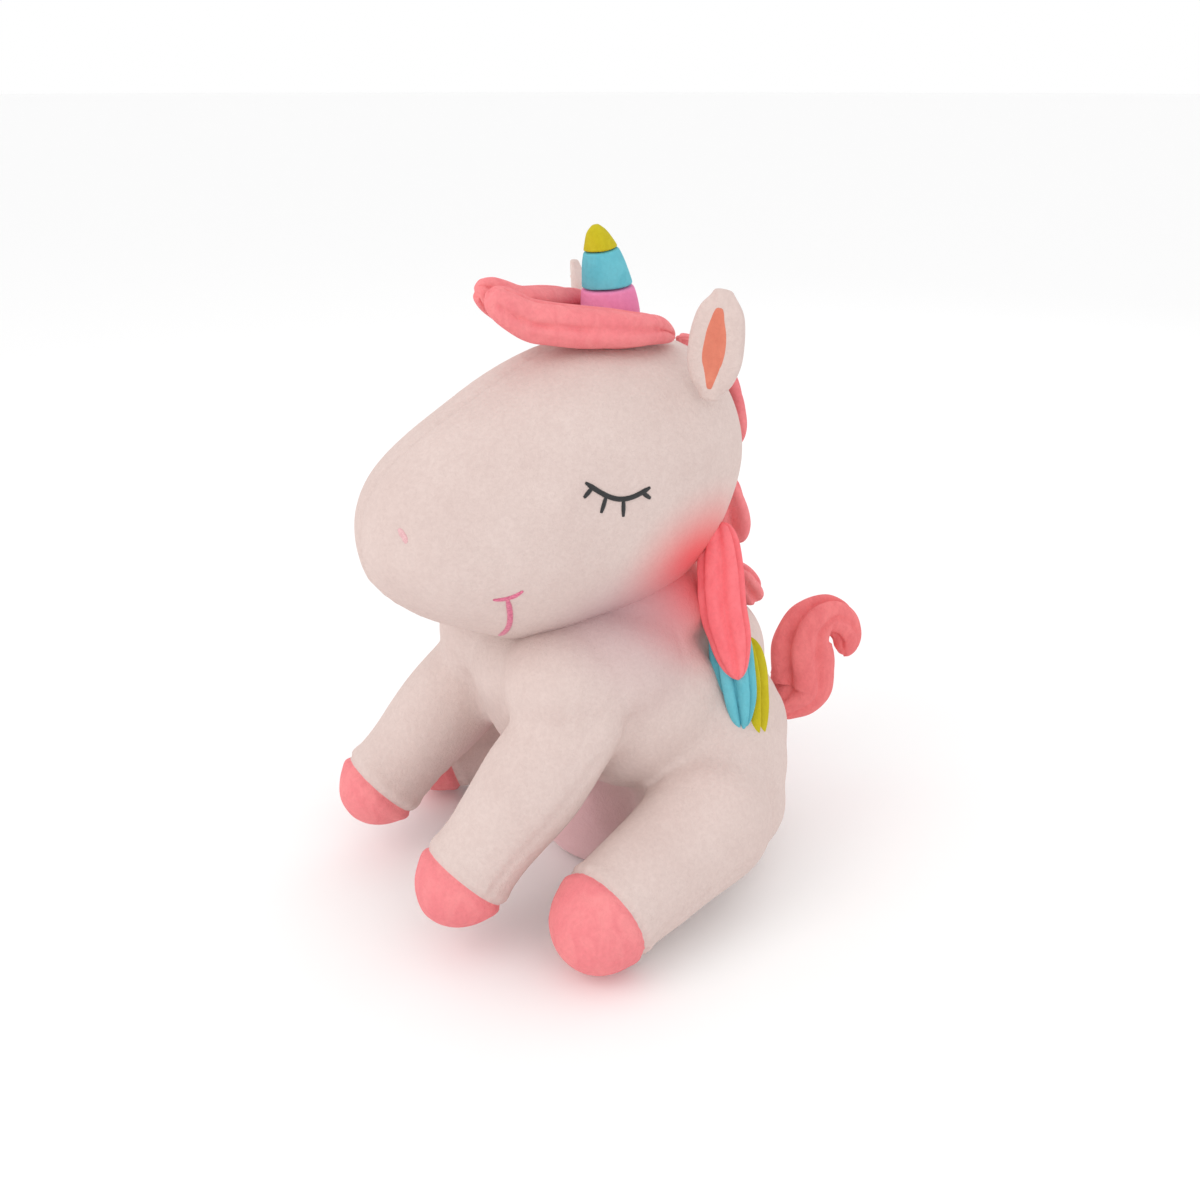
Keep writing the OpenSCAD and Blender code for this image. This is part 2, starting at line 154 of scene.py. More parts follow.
def subdivide(obj, levels=1):
    m = obj.modifiers.new("subdivide", "SUBSURF")
    m.levels = m.render_levels = levels
    return apply_modifiers(obj)


def soften(obj, factor, times):
    m = obj.modifiers.new("soften", "SMOOTH")
    m.factor, m.iterations = factor, times
    return apply_modifiers(obj)


def remesh(obj, size):
    m = obj.modifiers.new("remesh", "REMESH")
    m.mode, m.voxel_size = "VOXEL", size
    return apply_modifiers(obj)


def add_rings(bm, rings):
    """A closed loft through rings of points in millimetres, with a fan over each end."""
    loops = [[bm.verts.new(Vector(p) * MM) for p in ring] for ring in rings]
    n = len(loops[0])
    for a, b in zip(loops, loops[1:]):
        for i in range(n):
            bm.faces.new((a[i], a[(i + 1) % n], b[(i + 1) % n], b[i]))
    for loop, flip in ((loops[0], True), (loops[-1], False)):
        middle = bm.verts.new(sum((v.co for v in loop), Vector()) / n)
        for i in range(n):
            a, b = loop[i], loop[(i + 1) % n]
            bm.faces.new((b, a, middle) if flip else (a, b, middle))
    return loops


def loft(name, *solids):
    bm = bmesh.new()
    for rings in solids:
        add_rings(bm, rings)
    bmesh.ops.recalc_face_normals(bm, faces=bm.faces)
    return new_object(name, bm)


def row_at(rows, t):
    """Smooth curve through rows of numbers; t counts rows."""
    k = min(max(int(math.floor(t)), 0), len(rows) - 2)
    u = t - k
    a, b = rows[max(k - 1, 0)], rows[k]
    c, d = rows[k + 1], rows[min(k + 2, len(rows) - 1)]
    return [0.5 * (2 * q + (r - p) * u + (2 * p - 5 * q + 4 * r - s) * u * u
                   + (3 * q - p - 3 * r + s) * u ** 3) for p, q, r, s in zip(a, b, c, d)]


def spread(rows, per_row):
    n = (len(rows) - 1) * per_row
    return [k * (len(rows) - 1) / n for k in range(n + 1)]


# ---------- padding ----------

def puff(obj, pressure, cap, grow, pinned=None, frames=20, stiffness=5.0):
    """Blows the mesh up as stuffed cloth. No point moves more than cap, and the mean swelling is grow."""
    rest = points_of(obj)
    m = obj.modifiers.new("puff", "CLOTH")
    s = m.settings
    s.quality = 4
    s.mass = 0.1
    s.tension_stiffness = s.compression_stiffness = stiffness
    s.shear_stiffness = stiffness / 3
    s.bending_stiffness = 0.6
    s.use_pressure = True
    s.uniform_pressure_force = pressure
    s.effector_weights.gravity = 0
    m.collision_settings.use_collision = False
    m.point_cache.frame_start, m.point_cache.frame_end = 1, frames
    if pinned is not None:
        group = obj.vertex_groups.new(name="pins")
        for i in np.nonzero(pinned > 0.02)[0]:
            group.add([int(i)], float(pinned[i]), "REPLACE")
        s.vertex_group_mass = "pins"
    for f in range(1, frames + 1):
        scene.frame_set(f)
    held = obj.evaluated_get(bpy.context.evaluated_depsgraph_get())
    co = np.array([v.co for v in held.data.vertices], float)
    obj.modifiers.clear()
    obj.vertex_groups.clear()
    scene.frame_set(1)
    move = co - rest
    length = np.maximum(np.linalg.norm(move, axis=1), 1e-9)
    move *= np.minimum(1, cap / length)[:, None]
    swelling = (move * normals_of(obj)).sum(1).mean()
    set_points(obj, rest + move)
    push(obj, np.full(len(rest), grow - swelling))
    return obj


def push(obj, amounts):
    set_points(obj, points_of(obj) + normals_of(obj) * np.asarray(amounts)[:, None])


def lines_near(co, lines, reach):
    """For each point: distance to the nearest line point, and how far along its line that is."""
    pts, run = [], []
    for line in lines:
        total = 0.0
        for a, b in zip(line, line[1:]):
            a, b = Vector(a), Vector(b)
            steps = max(1, int((b - a).length / 0.8))
            for k in range(steps):
                pts.append(a.lerp(b, k / steps))
                run.append(total + (b - a).length * k / steps)
            total += (b - a).length
    tree = KDTree(len(pts))
    for i, p in enumerate(pts):
        tree.insert(p, i)
    tree.balance()
    gap, along = np.full(len(co), 1e3), np.zeros(len(co))
    for i, p in enumerate(co):
        _, k, d = tree.find(Vector(p) / MM)
        if d < reach:
            gap[i], along[i] = d, run[k]
    return gap, along


def seam(obj, lines, depth=1.1, width=1.7, pucker=0.35, pitch=9.0, swell=0.5):
    """Draws the cloth in along seam lines (millimetres), with small gathers beside them."""
    co = points_of(obj)
    gap, along = lines_near(co, lines, 16)
    wave = np.sin(along * 2 * math.pi / pitch) + 0.6 * np.sin(along * 2 * math.pi / (pitch * 1.73) + 1)
    out = (-depth * np.exp(-(gap / width) ** 2) + swell * np.exp(-((gap - 5.5) / 3.0) ** 2)
           + pucker * wave * np.exp(-((gap - 3.2) / 2.6) ** 2))
    push(obj, out * MM)


def ripple(obj, amount, size, seed):
    """Slow unevenness of the filling."""
    co = points_of(obj)
    off = Vector((seed * 3.1, seed * 1.7, seed * 5.3))
    push(obj, [amount * MM * noise.noise(Vector(p) / (size * MM) + off) for p in co])


# ---------- materials ----------

def linear(rgb):
    def one(v):
        v /= 255
        return v / 12.92 if v <= 0.04045 else ((v + 0.055) / 1.055) ** 2.4
    return tuple(one(v) for v in rgb) + (1,)


class Nodes:
    def __init__(self, name):
        self.mat = bpy.data.materials.new(name)
        self.mat.use_nodes = True
        self.tree = self.mat.node_tree
        self.shader = self.tree.nodes["Principled BSDF"]
        self.place = self.make("ShaderNodeTexCoord").outputs["Object"]

    def make(self, kind, **values):
        node = self.tree.nodes.new(kind)
        for key, value in values.items():
            setattr(node, key, value)
        return node

    def link(self, out, into):
        self.tree.links.new(out, into)
        return out

    def noise(self, scale, detail=2.0, rough=0.5, stretch=None, distort=0.0):
        node = self.make("ShaderNodeTexNoise")
        node.inputs["Scale"].default_value = scale
        node.inputs["Detail"].default_value = detail
        node.inputs["Roughness"].default_value = rough
        node.inputs["Distortion"].default_value = distort
        source = self.place
        if stretch:
            m = self.make("ShaderNodeMapping")
            m.inputs["Scale"].default_value = stretch
            self.link(source, m.inputs["Vector"])
            source = m.outputs["Vector"]
        self.link(source, node.inputs["Vector"])
        return node.outputs["Fac"]

    def remap(self, source, lo, hi, new_lo=0.0, new_hi=1.0):
        node = self.make("ShaderNodeMapRange")
        node.interpolation_type = "SMOOTHSTEP"
        self.link(source, node.inputs["Value"])
        for key, v in (("From Min", lo), ("From Max", hi), ("To Min", new_lo), ("To Max", new_hi)):
            node.inputs[key].default_value = v
        return node.outputs["Result"]

    def mix(self, share, a, b, kind="MIX"):
        node = self.make("ShaderNodeMix", data_type="RGBA", blend_type=kind)
        for value, key in ((share, 0), (a, 6), (b, 7)):
            if hasattr(value, "is_linked"):
                self.link(value, node.inputs[key])
            else:
                node.inputs[key].default_value = value
        return node.outputs[2]

    def maths(self, kind, a, b=0.0, c=None):
        node = self.make("ShaderNodeMath", operation=kind)
        for value, key in ((a, 0), (b, 1), (c, 2)):
            if value is None:
                continue
            if hasattr(value, "is_linked"):
                self.link(value, node.inputs[key])
            else:
                node.inputs[key].default_value = value
        return node.outputs[0]

    def bumps(self, *layers):
        """Layers of (height, distance in metres, strength), coarse first."""
        last = None
        for height, distance, strength in layers:
            node = self.make("ShaderNodeBump")
            node.inputs["Distance"].default_value = distance
            node.inputs["Strength"].default_value = strength
            self.link(height, node.inputs["Height"])
            if last is not None:
                self.link(last, node.inputs["Normal"])
            last = node.outputs["Normal"]
        self.link(last, self.shader.inputs["Normal"])

    def near(self, centre, inner, outer):
        """1 inside a ball round centre and its mirror image, falling to 0 at outer."""
        split = self.make("ShaderNodeSeparateXYZ")
        self.link(self.place, split.inputs[0])
        both = self.make("ShaderNodeCombineXYZ")
        self.link(self.maths("ABSOLUTE", split.outputs[0]), both.inputs[0])
        self.link(split.outputs[1], both.inputs[1])
        self.link(split.outputs[2], both.inputs[2])
        gap = self.make("ShaderNodeVectorMath", operation="DISTANCE")
        self.link(both.outputs[0], gap.inputs[0])
        gap.inputs[1].default_value = centre
        return self.remap(gap.outputs["Value"], inner, outer, 1.0, 0.0)


def plush(name, light, dark, sheen=0.35, tint=(255, 240, 235), pile=1.0, painted_light_patches=(), patch=0.5):
    """Short-pile plush: fine fibre, brushed patches where the nap lies over, soft sheen."""
    n = Nodes(name)
    fibre = n.noise(1500, 3, 0.65)
    tuft = n.noise(420, 2, 0.6, distort=0.4)
    nap = n.noise(95, 3, 0.6, stretch=(1, 1, 0.55), distort=0.8)
    cloud = n.noise(16, 2, 0.5)
    colour = n.mix(n.remap(nap, 0.32, 0.7, 0.0, patch), linear(light), linear(dark))
    colour = n.mix(n.remap(cloud, 0.35, 0.7, 0.0, 0.35), colour, linear(dark))
    speck = n.mix(n.remap(tuft, 0.3, 0.72), (0.93, 0.92, 0.92, 1), (1.0, 1.0, 1.0, 1))
    colour = n.mix(0.8, colour, speck, "MULTIPLY")
    # Painted light and shade: soft colour patches for coral bounce light from the wing and for shade under
    # the jaw and belly
    for centre, inner, outer, tone, share in painted_light_patches:
        colour = n.mix(n.maths("MULTIPLY", n.near(centre, inner, outer), share), colour, linear(tone))
    n.link(colour, n.shader.inputs["Base Color"])
    n.link(n.remap(nap, 0.2, 0.8, 0.82, 0.97), n.shader.inputs["Roughness"])
    n.shader.inputs["Specular IOR Level"].default_value = 0.15
    n.shader.inputs["Sheen Weight"].default_value = sheen
    n.shader.inputs["Sheen Roughness"].default_value = 0.45
    n.shader.inputs["Sheen Tint"].default_value = linear(tint)
    n.bumps((nap, 0.0012 * pile, 0.35), (tuft, 0.0008 * pile, 0.5), (fibre, 0.0004 * pile, 0.6))
    return n.mat


def thread(name, light, dark, pitch=1400.0):
    """Satin stitch: fine parallel threads with a soft gloss."""
    n = Nodes(name)
    twist = n.noise(pitch, 1, 0.4, stretch=(1, 0.35, 1))
    n.link(n.mix(n.remap(twist, 0.35, 0.65), linear(dark), linear(light)), n.shader.inputs["Base Color"])
    n.shader.inputs["Roughness"].default_value = 0.42
    n.shader.inputs["Sheen Weight"].default_value = 0.25
    n.bumps((twist, 0.0003, 0.8),)
    return n.mat


# ---------- the record's measures, in millimetres ----------

HEAD = dict(half_width=75, half_height=75, height=259)
HEAD_ROWS = [
    [68, 6, .03, .03, .03], [65.5, 6, .24, .25, .25], [58, 7, .45, .47, .47], [44, 8, .69, .69, .73],
    [22, 6, .88, .865, 1.08], [-8, 3, .98, .97, 1.24], [-42, -1, 1, 1, 1.26], [-76, -9, .97, .94, 1.16],
    [-106, -16.5, .87, .825, .925], [-132, -21.5, .735, .69, .70], [-151, -23, .57, .53, .50],
    [-163, -23.5, .36, .35, .33], [-168, -23.5, .17, .17, .16], [-169, -23.5, .03, .03, .03]]
TORSO_ROWS = [
    [0, .9, 45, 45, 0], [10, 9, 49, 64, 0], [23, 26, 51, 85, 0], [29, 55, 51, 94, 0],
    [26, 88, 51, 90, 0], [18, 119, 50, 82, 2], [11, 148, 47, 71, 5], [6, 168, 44, 60, 10],
    [3, 180, 41, 50, 17], [0, 184.5, 35, 41, 19]]
COLLAR_AT, COLLAR_UP, COLLAR_BLEND = Vector((0, -3, 162)), Vector((0, -.309, .9511)), 22
LEGS = {
    "front": dict(top=Vector((55.8, -65, 129)), foot=Vector((56, -148, 49)), r=25, hoof=28, at=4,
                  start=48, end=90, reach=44),
    "hind": dict(top=Vector((88, 8, 60)), foot=Vector((112, -82, 31.6)), r=35, hoof=31, at=2,
                 start=24, end=66, reach=52)}
# Where the cover is fuller than torso and legs alone, as centre and radii
SIDE_FULLNESS = [  # shoulder, flank, upper chest, then three over the hip
    ((45, -68, 147), (35, 36, 34)), ((46, -18, 118), (30, 48, 48)), ((38, -38, 153), (40, 46, 36)),
    ((46, 34, 86), (32, 51, 49)), ((61, 34, 46), (37, 40, 38)), ((53, 29, 68), (40, 49.5, 49))]
MIDDLE_FULLNESS = [  # belly, chest, neck root, back
    ((0, -57, 118), (54, 36, 48)), ((0, -63, 138), (52, 38, 36)), ((0, -8, 178), (58, 66, 34)),
    ((0, 42, 128), (46, 57, 46))]


def head_point(t, a):
    y, rise, wide, tall, low = row_at(HEAD_ROWS, t)
    tall = tall if sind(a) > 0 else low
    return Vector((HEAD["half_width"] * wide * cosd(a), y,
                   HEAD["height"] + rise + HEAD["half_height"] * tall * sind(a)))


def torso_point(t, a, grow=0.0):
    y, z, wide, deep, tilt = row_at(TORSO_ROWS, t)
    q = max(sind(-a), 0) * min(t / 5, 1)
    wide, deep = wide + grow, deep + grow
    return Vector((wide * cosd(a) * (1 - 0.3 * q), y + deep * sind(a) * cosd(tilt),
                   z + deep * sind(a) * sind(tilt)))


def leg_rows(kind, shrink=0.0):
    leg = LEGS[kind]
    length = (leg["foot"] - leg["top"]).length
    r, h = leg["r"], leg["hoof"]
    rows = [[-.995 * r, .06 * r], [-.93 * r, .38 * r], [-.72 * r, .7 * r], [-.35 * r, 1.0 * r],
            [.15 * r, 1.14 * r]]
    if kind == "front":
        rows += [[.35 * length, r + 6.5], [.6 * length, r + 4.5], [.82 * length, r + 2.5]]
    else:
        rows += [[.38 * length, r], [.62 * length, r - 2], [.8 * length, r - 3.5]]
    rows += [[length - leg["at"], h], [length + 2, h], [length + .36 * h, .93 * h],
             [length + .7 * h, .71 * h], [length + .92 * h, .39 * h], [length + .995 * h, .06 * h]]
    return [[d, max(x - shrink, 0.5)] for d, x in rows]


def leg_axis(kind, side):
    leg = LEGS[kind]
    flip = Vector((side, 1, 1))
    top, foot = leg["top"] * flip, leg["foot"] * flip
    if kind == "front" and side < 0:
        foot += Vector((-7, -4.5, 0.5))
    return top, foot, (foot - top).normalized()


def leg_rings(kind, side, shrink, sides=32, per_row=3):
    top, _, along = leg_axis(kind, side)
    wide = along.cross(Vector((0, 0, 1))).normalized()
    up = wide.cross(along)
    rows = leg_rows(kind, shrink)
    rings = []
    for t in spread(rows, per_row):
        d, r = row_at(rows, t)
        rings.append([top + along * d + (wide * cosd(a) + up * sind(a)) * max(r, 0.4)
                      for a in (i * 360 / sides for i in range(sides))])
    return rings


def ball(centre, radii, sides=28, steps=16):
    rings = []
    for k in range(1, steps):
        b = -90 + 180 * k / steps
        rings.append([Vector(centre) + Vector((radii[0] * cosd(b) * cosd(a), radii[1] * cosd(b) * sind(a),
                                               radii[2] * sind(b)))
                      for a in (i * 360 / sides for i in range(sides))])
    return rings


# ---------- the head ----------

def build_head():
    rings = [[head_point(t, i * 360 / 64) for i in range(64)] for t in spread(HEAD_ROWS, 5)]
    head = loft("head_cover", rings)
    push(head, np.full(len(head.data.vertices), -SHRINK * MM))
    remesh(head, VOXEL)
    soften(head, 0.5, 4)
    co = points_of(head)
    pins = np.exp(-(co[:, 0] / 0.004) ** 2) * 0.6
    puff(head, 40.0, 0.0045, 2.1 * MM, pins)
    subdivide(head)
    ripple(head, 1.1, 46, 1)
    middle = [[(0, p.y, p.z) for p in (head_point(t, a) for t in spread(HEAD_ROWS, 6))] for a in (90, -90)]
    seam(head, middle, depth=1.0, width=1.6, pucker=0.18, swell=0.35)
    for side in (1, -1):
        dimple(head, head_point(8.2, -34) * Vector((side, 1, 1)), 1.6, 9)
        dimple(head, head_point(6.25, 10.5) * Vector((side, 1, 1)), 1.0, 13)
        dimple(head, head_point(10.45, 22) * Vector((side, 1, 1)), 1.3, 5)
    return head


def dimple(obj, place, depth, size):
    co = points_of(obj) / MM
    gap = np.linalg.norm(co - np.array(place), axis=1)
    push(obj, -depth * MM * np.exp(-(gap / size) ** 2))


# ---------- torso and legs, sewn as one cover ----------

def build_skin():
    rows = [[torso_point(t, -90 + i * 360 / 56, -SHRINK) for i in range(56)] for t in spread(TORSO_ROWS, 4)]
    top = row_at(TORSO_ROWS, len(TORSO_ROWS) - 1)
    tuck = []
    for lift, share in ((8, 0.86), (15, 0.6), (19, 0.25)):
        tuck.append([Vector((p.x * share, (p.y - top[0]) * share + top[0] - lift * 0.3,
                             p.z + lift)) for p in rows[-1]])
    solids = [rows + tuck]
    for _, side in SIDES:
        for kind in LEGS:
            solids.append(leg_rings(kind, side, SHRINK))
        solids += [ball((x * side, y, z), radii) for (x, y, z), radii in SIDE_FULLNESS]
    solids += [ball(centre, radii) for centre, radii in MIDDLE_FULLNESS]
    skin = loft("skin", *solids)
    remesh(skin, VOXEL)
    soften(skin, 0.5, 9)
    puff(skin, 9.0, 0.006, SHRINK * MM)
    subdivide(skin)
    ripple(skin, 1.2, 42, 2)
    co = points_of(skin)
    co[:, 2] = np.maximum(co[:, 2], 0.0)
    set_points(skin, co)
    return skin


def skin_seams(skin):
    tree = BVHTree.FromObject(skin, bpy.context.evaluated_depsgraph_get())

    def laid(points):
        out = []
        for p in points:
            q, _, _, d = tree.find_nearest(Vector(p) * MM)
            if q is not None and d < 0.03:
                out.append(tuple(q / MM))
        return out
    spine = laid([(0, p.y, p.z) for p in (torso_point(t, 90) for t in spread(TORSO_ROWS[:9], 6))])
    lines = [spine]
    for _, side in SIDES:
        for kind in LEGS:
            top, foot, along = leg_axis(kind, side)
            wide = along.cross(Vector((0, 0, 1))).normalized() * side
            up = (wide.cross(along) * side).normalized()
            length = (foot - top).length
            r = LEGS[kind]["r"]
            under = (-up * 0.9 + wide * 0.4).normalized()
            lines.append(laid([top + along * (k * 4) + under * (r + 6)
                               for k in range(int(length / 4) + 1)]))
            inner = (up * -0.15 - wide * 0.98).normalized()
            lines.append(laid([top + along * (k * 4 + 12) + inner * (r + 6)
                               for k in range(int(length / 4) - 3)]))
    seam(skin, [line for line in lines if len(line) > 1], depth=0.8, width=1.5, pucker=0.2, swell=0.3)
    rings = []
    for _, side in SIDES:
        for kind, leg in LEGS.items():
            top, foot, along = leg_axis(kind, side)
            wide = along.cross(Vector((0, 0, 1))).normalized()
            up = wide.cross(along)
            at = foot - along * leg["at"]
            rings.append(laid([at + (wide * cosd(a) + up * sind(a)) * (leg["hoof"] + 1)
                               for a in range(0, 361, 6)]))
    seam(skin, rings, depth=1.5, width=1.7, pucker=0.3, pitch=7.5, swell=0.7)


def take_faces(name, faces, normals, inward, cap=True):
    """A piece made of some of the cover's faces, with the cover's own shading normals."""
    bm = bmesh.new()
    fresh = {}
    for face in faces:
        for v in face.verts:
            if v.index not in fresh:
                fresh[v.index] = bm.verts.new(v.co)
        bm.faces.new([fresh[v.index] for v in face.verts])
    order = list(fresh)
    bm.verts.ensure_lookup_table()
    bm.verts.index_update()
    loose = {e for e in bm.edges if e.is_boundary}
    while cap and loose:
        edge = loose.pop()
        loop, group = [edge], {edge}
        while loop:
            e = loop.pop()
            for v in e.verts:
                for other in v.link_edges:
                    if other in loose:
                        loose.discard(other)
                        group.add(other)
                        loop.append(other)
        verts = {v for e in group for v in e.verts}
        centre = sum((v.co for v in verts), Vector()) / len(verts)
        flat = Vector(np.linalg.svd(np.array([v.co - centre for v in verts]))[2][2])
        if len(group) >= 12 and max(abs((v.co - centre).dot(flat)) for v in verts) < 0.0012:
            mid = bm.verts.new(centre + inward(centre))
            for e in group:
                face = e.link_faces[0]
                a, b = e.verts
                for loop_ in face.loops:
                    if loop_.edge == e:
                        a, b = loop_.vert, loop_.link_loop_next.vert
                bm.faces.new((b, a, mid))
    obj = new_object(name, bm)
    got = [Vector(normals[i]) for i in order]
    extra = len(obj.data.vertices) - len(order)
    got += [obj.data.vertices[len(order) + k].normal.copy() for k in range(extra)]
    obj.data.normals_split_custom_set_from_vertices(got)
    return obj


def split_skin(skin):
    """The cover parted into torso, collar, four legs and four hooves."""
    bm = bmesh.new()
    bm.from_mesh(skin.data)
    frames = {}
    for label, side in SIDES:
        for kind, leg in LEGS.items():
            top, foot, along = leg_axis(kind, side)
            length = (foot - top).length
            frames[kind, label] = (top * MM, along, length * MM, leg)
            for at, reach in ((leg["start"], leg["reach"]), (length - leg["at"], leg["reach"])):
                point = (top + along * at) * MM
                faces = [f for f in bm.faces
                         if ((f.calc_center_median() - point)
                             - along * (f.calc_center_median() - point).dot(along)).length < reach * MM * 1.25
                         and abs((f.calc_center_median() - point).dot(along)) < 0.012]
                geom = (faces + list({e for f in faces for e in f.edges})
                        + list({v for f in faces for v in f.verts}))
                bmesh.ops.bisect_plane(bm, geom=geom, plane_co=point, plane_no=along, dist=1e-6)
    collar_at = COLLAR_AT * MM
    bmesh.ops.bisect_plane(bm, geom=bm.verts[:] + bm.edges[:] + bm.faces[:], plane_co=collar_at,
                           plane_no=COLLAR_UP, dist=1e-6)
    bm.normal_update()
    bm.verts.index_update()
    normals = [v.normal.copy() for v in bm.verts]
    parts = {"torso": [], "collar": []}
    owner = {}
    for (kind, label), (top, along, length, leg) in frames.items():
        def beyond(f):
            c = f.calc_center_median()
            s = (c - top).dot(along)
            return s > leg["start"] * MM and ((c - top) - along * s).length < leg["reach"] * MM * 0.9

        tip = top + along * (length + leg["hoof"] * MM * 0.8)
        stack = [min(bm.faces, key=lambda f: (f.calc_center_median() - tip).length)]
        seen = set(stack)
        while stack:
            f = stack.pop()
            s = (f.calc_center_median() - top).dot(along)
            owner[f] = (kind, label, "hoof" if s > length - leg["at"] * MM else "leg")
            for e in f.edges:
                for g in e.link_faces:
                    if g not in seen and g not in owner and beyond(g):
                        seen.add(g)
                        stack.append(g)
    for f in bm.faces:
        above = (f.calc_center_median() - collar_at).dot(COLLAR_UP) > 0
        found = owner.get(f) or ("collar" if above else "torso")
        parts.setdefault(found, []).append(f)
    out = {}
    for key, faces in parts.items():
        if isinstance(key, tuple):
            kind, label, what = key
            top, along, length, leg = frames[kind, label]
            name = f"{kind}_{'hoof' if what == 'hoof' else 'leg_cover'}_{label}_plush"

            def inward(c, top=top, along=along, length=length, leg=leg, what=what):
                near_hoof = (c - top).dot(along) > length * 0.7
                if what == "hoof":
                    return along * 0.004
                return along * (-0.004 if near_hoof else 0.010)
        else:
            name = "torso_cover" if key == "torso" else "neck_collar"

            def inward(c, key=key):
                drop = -0.01 if key == "torso" else 0.004
                return Vector((-c.x * 0.25, 0, 0.0 if abs(c.x) > 0.02 else drop))
        out[key] = take_faces(name, faces, normals, inward)
    bm.free()
    bpy.data.objects.remove(skin)
    return out


# ---------- locks, feathers, horn, ears ----------

def lock_rings(rows, sides=48, per_row=6, across=None, strands=3, cut=0.16, twist=0.0, phase=0.0,
               side=1, shrink=0.0):
    """Rings of a stuffed lock along rows of x, y, z, half width, half thickness, lobed by strands."""
    ts = spread(rows, per_row)
    mids = [Vector(row_at(rows, t)[:3]) for t in ts]
    rings = []
    for k, t in enumerate(ts):
        _, _, _, wide, thick = row_at(rows, t)
        along = (mids[min(k + 1, len(mids) - 1)] - mids[max(k - 1, 0)]).normalized()
        base = Vector(across) if across else Vector((1, 0, 0))
        up = along.cross(base).normalized()
        w = up.cross(along).normalized()
        share = t / (len(rows) - 1)
        fade = math.sin(math.pi * min(max(share, 0), 1)) ** 0.5
        ring = []
        for i in range(sides):
            a = 360 * i / sides
            lobe = abs(cosd(strands * (a + twist * share + phase) / 2))
            f = 1 - cut * fade * (1 - lobe) ** 2.2 * 1.6
            p = mids[k] + (w * cosd(a) * max(wide - shrink, 0.6)
                           + up * sind(a) * max(thick - shrink, 0.6)) * f
            ring.append(Vector((p.x * side, p.y, p.z)))
        rings.append(ring)
    return rings


def finish_soft(obj, seed, shrink_cap=0.0025, amount=0.5, size=18):
    puff(obj, 14.0, shrink_cap, 0.3 * MM, frames=12)
    subdivide(obj)
    ripple(obj, amount, size, seed)
    return obj


FORELOCK = [[16, 21, 331, 1, 1], [22, 12, 335, 6, 6], [28.5, -2, 340, 10, 9.5], [29, -20, 342, 11.5, 11],
            [20.5, -42, 344, 13, 12], [13.8, -59, 346.5, 12.5, 12], [10.5, -70, 349, 11, 12],
            [9, -79, 354, 10, 11.5], [8, -86, 359, 8.5, 10], [7, -90, 363, 6, 7], [7, -92, 365, 1, 1]]
MANE = {
    "upper": [[0, 31, 327, 1, 1], [0, 38, 325, 12, 5], [0, 50, 317, 19, 8], [0, 61, 300, 21, 9],
              [0, 68, 282, 20, 9], [0, 70, 264, 17, 8], [0, 69, 246, 1, 1]],
    "middle": [[0, 62, 258, 1, 1], [0, 63, 250, 14, 7], [0, 60, 238, 24, 12], [0, 62.5, 224, 29, 14],
               [0, 65.5, 210, 28, 14], [0, 69.5, 198, 21, 10], [0, 72, 190, 1, 1]],
    "lower": [[0, 75, 179, 1, 1], [0, 79, 175, 13, 6.5], [0, 84, 167, 19, 9.5], [0, 90.5, 156, 18, 9],
              [0, 98, 144, 1, 1]]}
TAIL = [[0, 116, 60, 1, 1], [0, 119, 61, 10, 11], [0, 128, 65, 14, 18], [0, 140, 74, 18, 26],
        [0, 142, 89, 17, 26], [0, 142, 105, 15.5, 26], [0, 147, 118, 14, 23], [0, 159, 125, 12, 17],
        [0, 172, 120, 11, 15], [0, 181, 109, 10, 13], [0, 184, 98, 8.5, 11], [0, 184, 90, 5.5, 6.5],
        [0, 183, 87, 1, 1]]
FEATHERS = {
    "coral": ((50, 31, 230), (66, 25, 184), (78, 30, 138), 13.8),
    "blue": ((62, 31, 176), (71, 31, 142), (81, 32, 106), 13.5),
    "yellow": ((60, 43, 158), (70, 41, 128), (81, 38.5, 86), 14.5)}
WING_ACROSS = Vector((.58, .81, .05)).normalized()


def feather_rows(top, mid, tip, half, thick=7.2):
    top, mid, tip = Vector(top), Vector(mid), Vector(tip)
    spots = [(top, 1, 1), (top.lerp(mid, .08), .62 * half, .8 * thick),
             (top.lerp(mid, .4), .95 * half, thick), (mid, half, thick),
             (mid.lerp(tip, .45), .9 * half, thick), (mid.lerp(tip, .8), .6 * half, .9 * thick),
             (mid.lerp(tip, .95), .3 * half, .6 * thick), (tip, 1, 1)]
    return [[*p, w, t] for p, w, t in spots]


def build_feathers():
    out = {}
    for label, side in SIDES:
        for k, (tone, spec) in enumerate(FEATHERS.items()):
            rings = lock_rings(feather_rows(*spec), sides=48, per_row=7, across=WING_ACROSS, strands=6,
                               cut=0.5, side=side, shrink=0.8, phase=0)
            obj = loft(f"wing_{tone}_feather_{label}_plush", rings)
            out[tone, label] = finish_soft(obj, 20 + k + (5 if side < 0 else 0), 0.0022, 0.4, 14)
    return out


HORN_ROWS = [[-12, 337.5, .99], [-12.4, 342, 1.01], [-13, 348, 1], [-13.8, 355, .96], [-15, 362, .88],
             [-16.6, 370, .77], [-18.4, 378, .66], [-20.2, 385, .50], [-21.9, 391, .32], [-22.6, 394.4, .11]]


